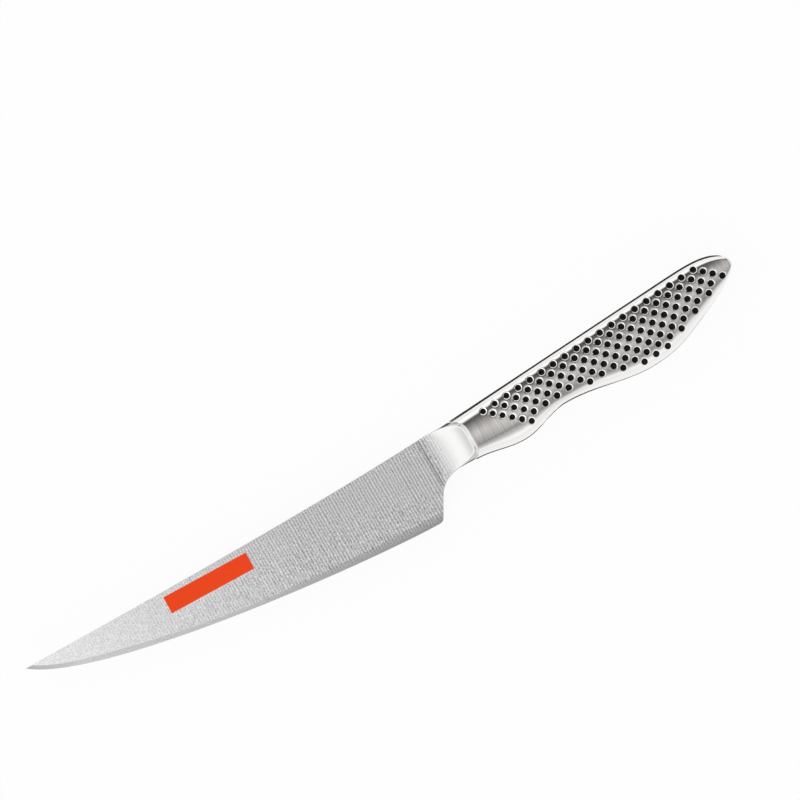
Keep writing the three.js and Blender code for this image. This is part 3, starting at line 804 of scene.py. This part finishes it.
def make_seam_bead():
    """A U along the outline, from the joint over the back, round the butt and home underneath.

    At each place the profile is as wide as the gap between the shells, flush outside and one wall
    deep along the outline's inward normal."""
    quarter = np.sin(np.linspace(0, np.pi / 2, SEAM_STEPS))
    start, under_start = JOINT_TOP + NECK_WELD, JOINT_UNDER + NECK_WELD
    out = start + (HANDLE_LENGTH - start) * quarter
    home = under_start + (HANDLE_LENGTH - under_start) * quarter[-2::-1]
    back = np.stack([out, handle_top(out)], 1)
    under = np.stack([home, handle_bottom(home)], 1)
    line = np.concatenate([back, under])
    fall = crown_share(handle_top(line[:, 0]), handle_bottom(line[:, 0]))
    gap = np.sin(seam_angle) * (1 - fall) * handle_half(line[:, 0])
    half_width = np.maximum(gap - SEAM_GAP, LEAST_SEAM)
    plan = line[:, None] - left_normals(line)[:, None] * SEAM_DEPTHS[:, None]
    loops = np.concatenate([plan, (half_width[:, None] * SEAM_WIDTHS)[..., None]], 2)
    return add_piece("seam_bead", *capped_loft(loops), "weld_steel", ["seam_weld"], 40.0)


seam_bead = make_seam_bead()

# %% Make the beads on the blade
BLADE_WELD = 1.3
WELD_TOP, WELD_UNDER, WELD_LIFT = 0.25, 0.35, 0.004
WELD_STEPS = 40
WELD_CLIMB = np.array([0.0, 0.35, 0.62, 0.82, 0.82, 0.0])
WELD_HEIGHT = np.array([0.0, 0.5, 1.0, 0.0, -0.6, -0.6])


def make_blade_bead(side, name, node):
    """A sliver along the front of a cheek: a low ridge, and a fine groove between it and the neck."""
    y = np.linspace(-WELD_TOP, neck_underside(-NECK_LAP) + WELD_UNDER, WELD_STEPS)[:, None]
    x, y = np.broadcast_arrays(-NECK_LAP - BLADE_WELD * (1 - WELD_CLIMB), y)
    z = ground_side(x, y) + NECK_LIP * WELD_HEIGHT + WELD_LIFT
    loops = np.stack([x, y, z], 2) * np.array([1, 1, side])
    return add_piece(name, *capped_loft(loops), "weld_steel", [node], 20.0)


bead_left = make_blade_bead(1, "blade_bead_left", "blade_weld_left")
bead_right = make_blade_bead(-1, "blade_bead_right", "blade_weld_right")

# %% [markdown]
# ## The printed mark
#
# A plain orange block is printed on the left side of the blade. Ink has almost no thickness, so it
# could be a colour in the blade's own finish. As a film of its own it keeps its crisp corners and
# its dull surface beside the steel.

# %% Make the printed mark
MARK_CENTRE = np.array([-81.9, -6.05])
MARK_SIZE = np.array([29.4, 5.7])
MARK_TILT = np.radians(-1.4)
MARK_STEPS, MARK_ROWS = 30, 8
INK = 0.012


def make_mark():
    """A thin slab: a flat grid turned by its tilt, lying on the ground side and sunk a little into it."""
    u = np.linspace(-0.5, 0.5, MARK_STEPS)[:, None] * MARK_SIZE[0]
    across = np.linspace(-0.5, 0.5, MARK_ROWS) * MARK_SIZE[1]
    v = np.concatenate([across, across[::-1]])
    lift = np.repeat([INK, -INK], MARK_ROWS)
    x = MARK_CENTRE[0] + u * np.cos(MARK_TILT) - v * np.sin(MARK_TILT)
    y = MARK_CENTRE[1] + u * np.sin(MARK_TILT) + v * np.cos(MARK_TILT)
    loops = np.stack([x, y, ground_side(x, y) + lift], 2)
    return add_piece("colour_mark", *capped_loft(loops), "colour_mark", (), 30.0)


mark = make_mark()

# %% [markdown]
# ## Finishes
#
# All the steel is the same stainless steel, and only the way it was worked differs. The blade is ground
# across, the handle's faces are brushed, and the neck and the rounded edges are polished. The belt's
# lines stand about a millimetre apart. The scratches between them and the brushing are far finer, and
# are drawn coarser, because they would vanish in the picture.

# %% Material helpers
SCRATCH_DEPTH = 0.004


def linear(colour):
    """An sRGB hex colour as linear red, green, blue and alpha."""
    share = np.array([int(colour[i:i + 2], 16) for i in (1, 3, 5)]) / 255
    value = np.where(share <= 0.04045, share / 12.92, ((share + 0.055) / 1.055) ** 2.4)
    return (*value.tolist(), 1.0)


def add_node(tree, kind, inputs=None, output=0, **settings):
    """Adds one node and gives its first output, or the one that is asked for.

    settings are its properties, and inputs are its sockets, each a value or a link."""
    made = tree.nodes.new(kind)
    for name, value in settings.items():
        setattr(made, name, value)
    for name, value in (inputs or {}).items():
        if isinstance(value, bpy.types.NodeSocket):
            tree.links.new(value, made.inputs[name])
        else:
            made.inputs[name].default_value = value
    return made.outputs[output] if made.outputs else None


def combine(tree, operation, *values):
    """One number worked out from others, each a value or a link."""
    return add_node(tree, "ShaderNodeMath", dict(enumerate(values)), operation=operation)


def empty_tree(owner):
    """The node tree of a material or a world, cleared."""
    owner.use_nodes = True
    owner.node_tree.nodes.clear()
    return owner.node_tree


def new_material(name):
    """A material, its empty node tree and its object coordinates."""
    material = bpy.data.materials.new(name)
    tree = empty_tree(material)
    return material, tree, add_node(tree, "ShaderNodeTexCoord", output="Object")


def show(material, surface):
    """Makes a shader the surface of a material, and gives the material."""
    add_node(material.node_tree, "ShaderNodeOutputMaterial", {"Surface": surface})
    return material


def finish(material, colour, roughness, others):
    """Gives a material its shader. others are sockets besides colour and roughness."""
    sockets = {"Base Color": colour, "Roughness": roughness, **others}
    return show(material, add_node(material.node_tree, "ShaderNodeBsdfPrincipled", sockets))


def stretched(tree, place, scale):
    """Coordinates times a scale for each axis."""
    return add_node(tree, "ShaderNodeMapping", {"Vector": place, "Scale": scale})


def lines_across(tree, place, spacing, length, detail=3.0):
    """Streaks along Y: noise that changes every spacing millimetres in X and every length in Y."""
    scale = (1 / (spacing * MM), 1 / (length * MM), 1 / (length * MM))
    noise = {"Vector": stretched(tree, place, scale), "Scale": 1.0, "Detail": detail, "Roughness": 0.6}
    return add_node(tree, "ShaderNodeTexNoise", noise)


def speckle(tree, place, size):
    """Soft blotches, so many millimetres across."""
    noise = {"Vector": place, "Scale": 1 / (size * MM), "Detail": 2.0}
    return add_node(tree, "ShaderNodeTexNoise", noise)


def mark_value(tree, name):
    """A mark of the mesh as a number."""
    return add_node(tree, "ShaderNodeAttribute", output="Fac", attribute_name=name)


def spread(tree, value, low, high, start=0.3, end=0.7):
    """A number between low and high, as value goes from start to end."""
    limits = {"Value": value, "From Min": start, "From Max": end, "To Min": low, "To Max": high}
    return add_node(tree, "ShaderNodeMapRange", limits)


def along_x(tree, place, start, end):
    """A number that grows from 0 to 1 between two places along the knife."""
    x = add_node(tree, "ShaderNodeSeparateXYZ", {"Vector": place}, "X")
    return spread(tree, x, 0.0, 1.0, to_frame([start, 0, 0])[0], to_frame([end, 0, 0])[0])


def shades(tree, value, first, second):
    """A colour between two, each a hex colour or a link, by a number from 0 to 1."""
    ends = {6 + i: linear(end) if isinstance(end, str) else end for i, end in enumerate((first, second))}
    return add_node(tree, "ShaderNodeMix", {**ends, 0: value}, 2, data_type="RGBA")


def brushed(tree, amount):
    """Sockets of a metal that stretches reflections along X, square to the lines of its finish."""
    direction = add_node(tree, "ShaderNodeTangent", direction_type="UV_MAP", uv_map="brushing")
    return {"Metallic": 1.0, "Tangent": direction, "Anisotropic": amount}


def scratched(tree, lines, strength):
    """The socket that turns lines into fine scratches."""
    relief = {"Height": lines, "Strength": strength, "Distance": SCRATCH_DEPTH * MM}
    return {"Normal": add_node(tree, "ShaderNodeBump", relief)}


def dress(material, *pieces):
    """Gives pieces their one material."""
    for piece in pieces:
        piece.data.materials.clear()
        piece.data.materials.append(material)
    print(material.name, "on", [piece.name for piece in pieces])


# %% [markdown]
# The belt's lines are strongest at the heel and fade towards the tip. The steel is also painted paler
# towards the tip and darker at the heel, as painted light and shade. The bevel and the back come off a
# finer stone. The bevel carries painted shade: darkest at the heel, where it goes over softly into the
# side, and at the very tip. The beads in front of the neck are ground with the blade and stay a little
# darker.

# %% Ground stainless steel, the blade
LINE_PERIOD = 0.97
LINE_LENGTH = 9.0
LINE_SWING = 0.115
GRAIN = 0.3
GRAIN_LENGTH = 0.42
TONE_LIMITS = (0.22, 0.78)
FAINT_LINES_PAINTED_LIGHT_X, STRONG_LINES_PAINTED_SHADE_X = -145.0, -50.0
BEVEL_PAINTED_LIGHT_X, BEVEL_PAINTED_SHADE_X = -105.0, -10.0
TIP_PAINTED_SHADE_X, TIP_SHADE_END_X = -145.0, -128.0
BEVEL_SHADE_FADE = (0.15, 0.8)


def ground_lines(tree, place, strength):
    """Upright grinding lines: a wave along X, a little bent, times a strength, and a fine grain over it.

    The wave node repeats after a tenth of pi, and the scale turns that into the period."""
    wave_scale = np.pi / 10 / (LINE_PERIOD * MM)
    flat_scale = wave_scale * LINE_PERIOD / LINE_LENGTH
    course = stretched(tree, place, (wave_scale, flat_scale, flat_scale))
    bent = {"Vector": course, "Scale": 1.0, "Distortion": 3.0, "Detail": 2.0, "Detail Scale": 1.2}
    wave = add_node(tree, "ShaderNodeTexWave", bent, "Fac", bands_direction="X")
    swing = spread(tree, wave, -LINE_SWING, LINE_SWING, 0.0, 1.0)
    grain = lines_across(tree, place, GRAIN, GRAIN_LENGTH, 1.0)
    both = combine(tree, "MULTIPLY_ADD", swing, strength, grain)
    return spread(tree, both, 0.0, 1.0, *TONE_LIMITS)


def ground_colour(tree, place, dark="#7C7C7D", light="#F0F0F1"):
    """Steel off the belt: the lines are strong at the heel and fainter towards the tip. Its tone is
    painted light and shade, paler towards the tip and darker at the heel.
    """
    share = along_x(tree, place, FAINT_LINES_PAINTED_LIGHT_X, STRONG_LINES_PAINTED_SHADE_X)
    lines = ground_lines(tree, place, share)
    # Painted light and shade: the steel is paler towards the tip and darker at the heel, as if more light
    # fell on the tip.
    heel_painted_shade_tone = shades(tree, lines, dark, light)
    tip_painted_light_tone = shades(tree, lines, "#D2D2D3", "#FFFFFF")
    return shades(tree, share, tip_painted_light_tone, heel_painted_shade_tone), lines


def ground_steel(name, *tones):
    """Stainless steel ground across on a belt: an even satin grey with faint upright lines."""
    material, tree, place = new_material(name)
    colour, lines = ground_colour(tree, place, *tones)
    roughness = spread(tree, lines, 0.34, 0.4, 0.0, 1.0)
    return finish(material, colour, roughness, {**brushed(tree, 0.75), **scratched(tree, lines, 0.5)})


def honed_steel():
    """The bevel and the back off a finer stone: smoother, with fainter lines.

    They carry painted shade: darker towards the heel and at the very tip. Near the heel the ground side's
    colour comes in with the mark rise, so the painted shade fades out at the bevel's shoulder."""
    material, tree, place = new_material("stainless_honed")
    fine = lines_across(tree, place, GRAIN, 2 * GRAIN)
    mottle = spread(tree, fine, 0.0, 1.0)
    # Painted shade on the bevel: a darker tone towards the heel, a paler one towards the tip, and a dark
    # grey at the very tip.
    heel_bevel_painted_shade = shades(tree, mottle, "#969697", "#BEBEBF")
    tip_bevel_painted_light = shades(tree, mottle, "#C4C4C5", "#DEDEDF")
    heel = along_x(tree, place, BEVEL_PAINTED_LIGHT_X, BEVEL_PAINTED_SHADE_X)
    tone = shades(tree, heel, tip_bevel_painted_light, heel_bevel_painted_shade)
    tip_edge_painted_shade = shades(tree, along_x(tree, place, TIP_PAINTED_SHADE_X, TIP_SHADE_END_X), "#A2A2A3", tone)
    rise = spread(tree, mark_value(tree, "rise"), 0.0, 1.0, *BEVEL_SHADE_FADE)
    ground, _ = ground_colour(tree, place)
    colour = shades(tree, combine(tree, "MULTIPLY", rise, heel), tip_edge_painted_shade, ground)
    return finish(material, colour, spread(tree, fine, 0.26, 0.34), brushed(tree, 0.5))


def hone(mesh):
    """Gives the faces whose corners all have the mark honed the mesh's second material."""
    mesh.materials.append(honed_steel())
    honed = np.empty(len(mesh.vertices), np.float32)
    mesh.attributes["honed"].data.foreach_get("value", honed)
    starts = np.empty(len(mesh.polygons), np.int32)
    mesh.polygons.foreach_get("loop_start", starts)
    inside = np.minimum.reduceat(honed[corner_points(mesh)], starts) > 0.5
    mesh.polygons.foreach_set("material_index", inside.astype(np.int32))
    print(inside.sum(), "faces are honed")


dress(ground_steel("stainless_weld_ground", "#6C6C6D", "#D0D0D1"), bead_left, bead_right)
dress(ground_steel("stainless_ground"), blade)
hone(blade.data)

# %% Pressed stainless steel, the shells
BRUSH_SPACING = 0.45
BRUSH_LENGTH = 9.0


def pressed_steel():
    """Pressed sheet: the faces brushed across to a warm grey, and the polished edges and dimples left
    bright, with a painted highlight: their near-white colour is paler than real steel.
    """
    material, tree, place = new_material("stainless_pressed_brushed")
    bright = mark_value(tree, "polish_and_highlight")
    fine = lines_across(tree, place, BRUSH_SPACING, BRUSH_LENGTH)
    grey = shades(tree, spread(tree, fine, 0.0, 1.0), "#A6A3A1", "#C4C1BF")
    # Painted highlight: polished edges and dimple bowls take a near-white colour, paler than steel
    # reflects, so their mirrored white shows whiter.
    colour = shades(tree, bright, grey, "#F2F1F0")
    roughness = spread(tree, bright, 0.19, 0.14, 0.0, 1.0)
    return finish(material, colour, roughness, {**brushed(tree, 0.7), **scratched(tree, fine, 0.4)})


dress(pressed_steel(), shell_left, shell_right)

# %% Polished stainless steel, the neck and the welds
BUFFING_FADE = 6.0
MELT_GRAIN = 0.8


def polished_steel():
    """Buffed steel, bright and clear. Next to the blade the buffing fades into the ground lines."""
    material, tree, place = new_material("stainless_polished")
    buffed = along_x(tree, place, -NECK_LAP, BUFFING_FADE - NECK_LAP)
    ground, _ = ground_colour(tree, place)
    colour = shades(tree, buffed, ground, "#C9C9C8")
    return finish(material, colour, spread(tree, buffed, 0.36, 0.17, 0.0, 1.0), brushed(tree, 0.4))


def weld_metal():
    """Weld bead ground flush and buffed: bright, with a faint mottle from the melted grain."""
    material, tree, place = new_material("stainless_weld_buffed")
    mottle = speckle(tree, place, MELT_GRAIN)
    colour = shades(tree, spread(tree, mottle, 0.0, 1.0), "#BFBEBC", "#CBCAC9")
    return finish(material, colour, spread(tree, mottle, 0.16, 0.24), {"Metallic": 1.0})


dress(polished_steel(), neck)
dress(weld_metal(), seam_bead, neck_bead)

# %% Enamel, ink and sand
ENAMEL_BLOTCH = 0.9
SAND_GRAIN = 0.5


def black_enamel():
    """Stoved black enamel: deep black with a clear gloss, a touch uneven where it ran into the bowl."""
    material, tree, place = new_material("enamel_black_stoved")
    runs = speckle(tree, place, ENAMEL_BLOTCH)
    colour = shades(tree, runs, "#020202", "#080707")
    gloss = {"IOR": 1.5, "Specular IOR Level": 0.15}
    return finish(material, colour, spread(tree, runs, 0.14, 0.3), gloss)


def orange_ink():
    """Screen-printed ink: a dull, even orange that lets the ground lines below show as faint streaks."""
    material, tree, place = new_material("ink_orange_printed")
    lines = ground_lines(tree, place, 1.0)
    colour = shades(tree, lines, "#EF4518", "#F84C1D")
    dull = {"IOR": 1.48, "Specular IOR Level": 0.1}
    return finish(material, colour, 0.6, {**dull, **scratched(tree, lines, 0.3)})


def quartz_sand():
    """Dry quartz sand: matte grains of about half a millimetre, pale and honey coloured."""
    material, tree, place = new_material("sand_quartz_dry")
    cells = {"Vector": place, "Scale": 1 / (SAND_GRAIN * MM)}
    grains = add_node(tree, "ShaderNodeTexVoronoi", cells, "Color")
    hue = add_node(tree, "ShaderNodeSeparateColor", {"Color": grains}, "Red")
    return finish(material, shades(tree, hue, "#A88A5C", "#D9C7A1"), 0.9, {})


dress(black_enamel(), enamel_left, enamel_right)
dress(orange_ink(), mark)
dress(quartz_sand(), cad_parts["balance_sand"])

# %% [markdown]
# ## Studio
#
# Polished steel shows its surroundings, so the studio is most of the picture. The knife lies in a white
# tent. Straight up it is a middle grey, which the flat faces show, and it is darker to both sides of
# that, which gives the crowned faces their dark shoulders. The walls along the knife are white and make
# every round edge bright. The wall beyond the tip is bright too, and the hollow of the neck shows it.

# %% White tent
TENT_LIGHT = 1.7
ROOF_ALONG = [
    (-0.38, 0), (-0.2, 0.93), (-0.1, 0.88), (0, 0.83), (0.11, 0.66), (0.45, 0.5), (0.78, 0.45), (1, 0.3),
]
ROOF_ACROSS = [(-0.5, 0), (-0.3, 0.34), (-0.2, 0.3), (-0.02, 1), (0.16, 0.03), (0.3, 0.03), (0.42, 0)]
WALLS_ALONG = [(-0.38, 0), (-0.18, 0.68), (0.1, 0.68), (0.78, 0.48), (1, 0.3)]
WALLS_ACROSS = [
    (-1, 0.8), (-0.85, 1), (-0.5, 0.6), (-0.25, 0.06), (0.24, 0),
    (0.42, 0.95), (0.6, 1), (0.9, 1), (1, 0.75),
]
END_ALONG = [
    (-0.9, 0.62), (-0.83, 0.8), (-0.78, 0.97), (-0.62, 0.97), (-0.45, 0.8), (-0.38, 0.74), (-0.2, 0.0),
]
END_ACROSS = [(-1, 0.6), (-0.85, 1), (0.4, 1), (0.7, 0.45)]


def tone_curve(tree, way, stops):
    """A tone by direction: straight lines between stops, each a part of the way and its tone."""
    light = add_node(tree, "ShaderNodeValToRGB", {"Fac": spread(tree, way, 0.0, 1.0, -1.0, 1.0)})
    bands = light.node.color_ramp.elements
    for _ in stops[2:]:
        bands.new(0.5)
    for band, (part, tone) in zip(bands, stops):
        band.position = (part + 1) / 2
        band.color = (tone, tone, tone, 1)
    return light


def make_tent():
    """World light by direction: a tone along X times one across Y, added up over roof, walls and end.

    Below the horizon, and where the camera looks past the knife, it is plain white."""
    world = bpy.data.worlds.new("white_tent")
    bpy.context.scene.world = world
    tree = empty_tree(world)
    ray = add_node(tree, "ShaderNodeTexCoord", output="Generated")
    ways = add_node(tree, "ShaderNodeSeparateXYZ", {"Vector": ray}).node.outputs
    light = (0, 0, 0)
    for along, across in ((ROOF_ALONG, ROOF_ACROSS), (WALLS_ALONG, WALLS_ACROSS), (END_ALONG, END_ACROSS)):
        terms = {0: tone_curve(tree, ways["X"], along), 1: tone_curve(tree, ways["Y"], across), 2: light}
        light = add_node(tree, "ShaderNodeVectorMath", terms, operation="MULTIPLY_ADD")
    tent = add_node(tree, "ShaderNodeBackground", {"Color": light, "Strength": TENT_LIGHT})
    white = add_node(tree, "ShaderNodeBackground", {"Color": (1, 1, 1, 1), "Strength": 1.0})
    camera_ray = add_node(tree, "ShaderNodeLightPath", output="Is Camera Ray")
    plain = combine(tree, "MAXIMUM", camera_ray, combine(tree, "LESS_THAN", ways["Z"], 0.0))
    mixed = add_node(tree, "ShaderNodeMixShader", {0: plain, 1: tent, 2: white})
    add_node(tree, "ShaderNodeOutputWorld", {"Surface": mixed})
    print(world.name, "with light", TENT_LIGHT)


make_tent()

# %% White floor
FLOOR_SIZE = 6.0
FLOOR_GAP = 0.00005
FLOOR_LIFT = 0.92


def add_sheet(name, corners, faces, material):
    """Adds a sheet of the studio, in frame metres."""
    mesh = bpy.data.meshes.new(name)
    mesh.from_pydata(corners, [], faces)
    mesh.materials.append(material)
    print(name, "of", material.name)
    return add_object(name, mesh)


def white_paper():
    """Matte paper that takes the shadow. Most of it shows as plain white."""
    material = bpy.data.materials.new("paper_white_matte")
    tree = empty_tree(material)
    paper = add_node(tree, "ShaderNodeBsdfDiffuse", {"Color": linear("#FAFAFA")})
    glow = add_node(tree, "ShaderNodeEmission", {"Color": (1, 1, 1, 1), "Strength": 1.0})
    path = add_node(tree, "ShaderNodeLightPath").node.outputs
    seen = path["Is Camera Ray"]
    for way in ("Is Glossy Ray", "Is Transmission Ray"):
        seen = combine(tree, "MAXIMUM", seen, path[way])
    lift = combine(tree, "MULTIPLY", seen, FLOOR_LIFT)
    return show(material, add_node(tree, "ShaderNodeMixShader", {0: lift, 1: paper, 2: glow}))


def make_floor():
    """A square just under the knife. Mirrors look through it, at the tent's white below the horizon."""
    half = FLOOR_SIZE / 2
    plan = [(-half, -half), (half, -half), (half, half), (-half, half)]
    corners = [(x, y, cad_low.z - FLOOR_GAP) for x, y in plan]
    floor = add_sheet("floor", corners, [(0, 1, 2, 3)], white_paper())
    floor.visible_glossy = False


make_floor()

# %% [markdown]
# Bright steel on white paper has no outline of its own. Here a dark line of painted shade parts the
# steel from the paper: a dark grey sheet that glows a little and that only mirrors see, in two strips far
# below the paper, which mirrors look through. The handle's steep sides mirror it as the shade beside the
# handle. It is cut to serve the camera above the knife.

# %% Painted shade under the handle, seen only in mirrors
CARD_DROP = 100.0
CARD_MARGIN = 3.0
CARD_STEPS = 80
CARD_STATIONS = [8.6, 28.0, 47.0, 70.0, 100.0, 106.0, 109.5]
CARD_BACK = [1.5, 1.1, 0.88, 0.88, 0.98, 1.2, 0.5]
CARD_UNDER = [0.75, 0.8, 0.2, 0.56, 0.4, 0.2, 0.06]


def card_strip(x, line, reach, side):
    """A strip far below an outline, from its plumb line outwards: the drop times the reach at x."""
    plan = np.stack([x, line], 1)
    outward = side * left_normals(plan)
    near = plan - CARD_MARGIN * outward
    far = plan + (CARD_MARGIN + CARD_DROP * swell(x, CARD_STATIONS, reach)[:, None]) * outward
    return np.stack([near, far], 1)


def shade_card():
    """Painted shade: a dark grey glow, the same from every side, that mirrors show as the shade beside the
    handle.
    """
    material = bpy.data.materials.new("card_painted_shade")
    black = {"Color": linear("#2C2C2C"), "Strength": 1.0}
    return show(material, add_node(empty_tree(material), "ShaderNodeEmission", black))


def make_shade_card():
    """Two strips of painted shade deep under the paper, one along the back and one underneath. Only
    mirrors show them, as a dark line along the handle's steep sides.
    """
    x = np.linspace(CARD_STATIONS[0], CARD_STATIONS[-1], CARD_STEPS)
    back = card_strip(x, handle_top(x), CARD_BACK, 1)
    under = card_strip(x, handle_bottom(x), CARD_UNDER, -1)
    plan = np.concatenate([back, under]).reshape(-1, 2)
    corners = to_frame(np.append(plan, np.full((len(plan), 1), -CARD_DROP), 1))
    step = np.append(np.arange(len(x) - 1), np.arange(len(x), 2 * len(x) - 1))[:, None]
    faces = 2 * step + np.array([0, 1, 3, 2])
    card = add_sheet("shade_card", corners.tolist(), faces.tolist(), shade_card())
    card.visible_camera = False
    card.visible_diffuse = False
    card.visible_shadow = False


make_shade_card()

# %% [markdown]
# ## Camera
#
# The knife is seen square on, from straight above its side, with its back turned 30 degrees to the
# picture. A long lens far away keeps the two ends the same scale.

# %% Camera over the knife
PICTURE_SIZE = 800
PIXELS_PER_MM = 3.2
PICTURE_TURN = np.radians(-30.0)
PICTURE_CENTRE = np.array([-1.434, 13.62, 2.0])
LENS = 135.0
SENSOR = 36.0

camera_data = bpy.data.cameras.new("camera")
camera_data.lens = LENS
camera_data.sensor_width = SENSOR
camera = add_object("camera", camera_data)
distance = PICTURE_SIZE / PIXELS_PER_MM * LENS / SENSOR
camera.location = to_frame(PICTURE_CENTRE + np.array([0, 0, distance]))
camera.rotation_euler = (0, 0, PICTURE_TURN)
bpy.context.scene.camera = camera
bpy.context.scene.view_settings.view_transform = "Standard"
print(f"the camera stands {distance:.0f} mm above the blade")
